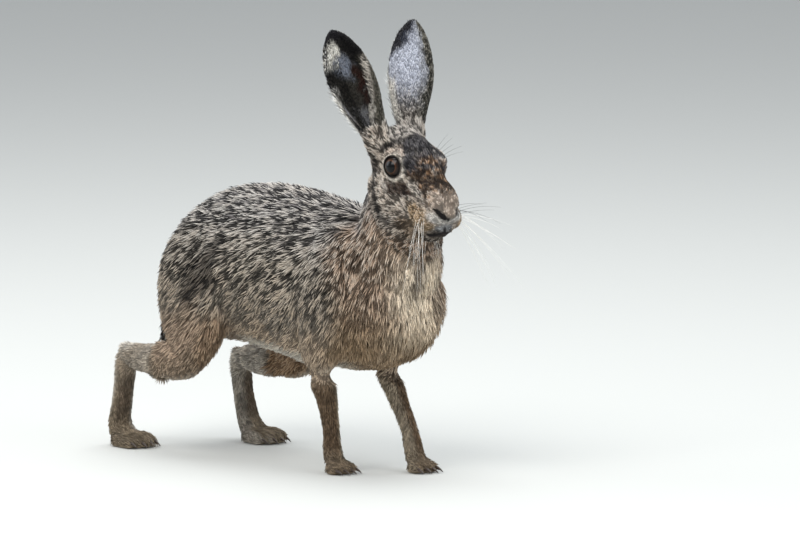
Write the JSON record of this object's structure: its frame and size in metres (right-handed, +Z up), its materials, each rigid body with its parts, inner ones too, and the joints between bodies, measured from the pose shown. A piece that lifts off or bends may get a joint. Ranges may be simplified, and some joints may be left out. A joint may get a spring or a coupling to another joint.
{
  "type": "brown hare model",
  "caption": "Life-size brown hare in mid-step, head raised and long ears up, standing on all feet, as a still model in named solids.",
  "frame": {"origin": "centre of the bounding box at floor level", "axes": "+X the way the hare walks, +Y its left side, +Z up"},
  "size_m": [0.4036, 0.147, 0.3963],
  "materials": {
    "coat": "short dense fur, grizzled brown",
    "back_coat": "coarse fur streaked black, brown and grey",
    "leg_coat": "short close fur, tawny and grey",
    "ear_coat": "very short fur, black at the tips",
    "tail_coat": "longer fur, black above and white beneath",
    "eye": "wet gloss, amber brown with a black pupil"
  },
  "bodies": {
    "root": {"ear_left": "ear_coat", "ear_right": "ear_coat", "eye_left": "eye", "eye_right": "eye", "forearm_left": "leg_coat", "forearm_right": "leg_coat", "forepaw_left": "leg_coat", "forepaw_right": "leg_coat", "head": "coat", "hind_foot_left": "leg_coat", "hind_foot_right": "leg_coat", "hind_shank_left": "leg_coat", "hind_shank_right": "leg_coat", "neck": "coat", "shoulder_left": "coat", "shoulder_right": "coat", "tail": "tail_coat", "thigh_left": "leg_coat", "thigh_right": "leg_coat", "torso": "back_coat"}
  },
  "joints": []
}
